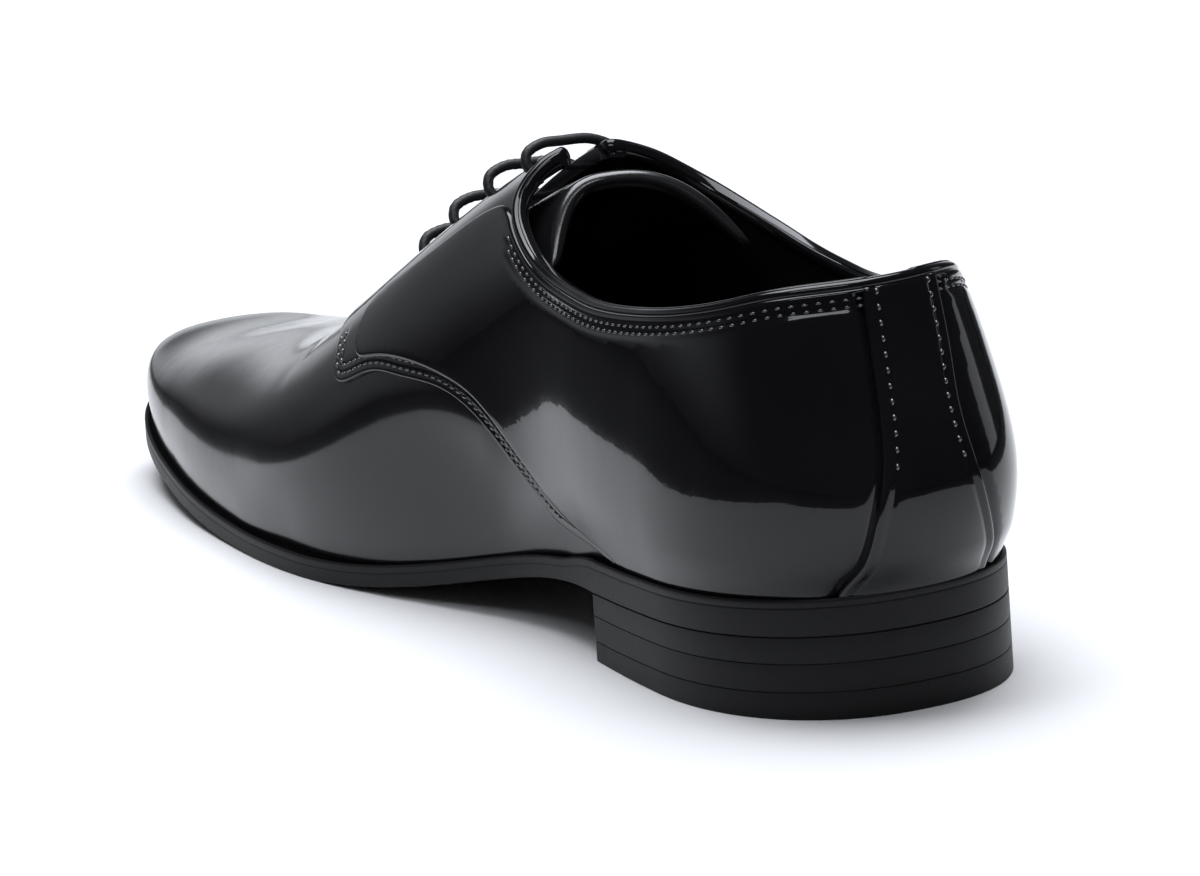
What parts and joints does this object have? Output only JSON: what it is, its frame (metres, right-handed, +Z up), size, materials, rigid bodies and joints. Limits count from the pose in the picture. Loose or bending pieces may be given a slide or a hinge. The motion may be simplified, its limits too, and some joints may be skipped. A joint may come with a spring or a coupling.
{
  "type": "dress shoe",
  "caption": "Right patent derby dress shoe, laced, plain toe, low stacked heel, open collar, standing on its sole.",
  "frame": {"origin": "centre of the bounding box's bottom, on the floor the shoe stands on", "axes": "+Y from heel to toe, +X from the medial to the lateral side of a right foot, +Z up"},
  "size_m": [0.0976, 0.31, 0.0953],
  "materials": {
    "patent": "high gloss patent",
    "lining": "matt",
    "sole_rubber": "semi-matt",
    "lace_cotton": "waxed"
  },
  "bodies": {
    "root": {"outsole": "sole_rubber", "heel_lift_1": "sole_rubber", "heel_lift_2": "sole_rubber", "heel_top_piece": "sole_rubber", "insole": "lining", "upper": "patent", "quarter_medial": "patent", "quarter_lateral": "patent", "back_stay": "patent", "tongue": "lining", "lace": "lace_cotton"}
  },
  "joints": []
}
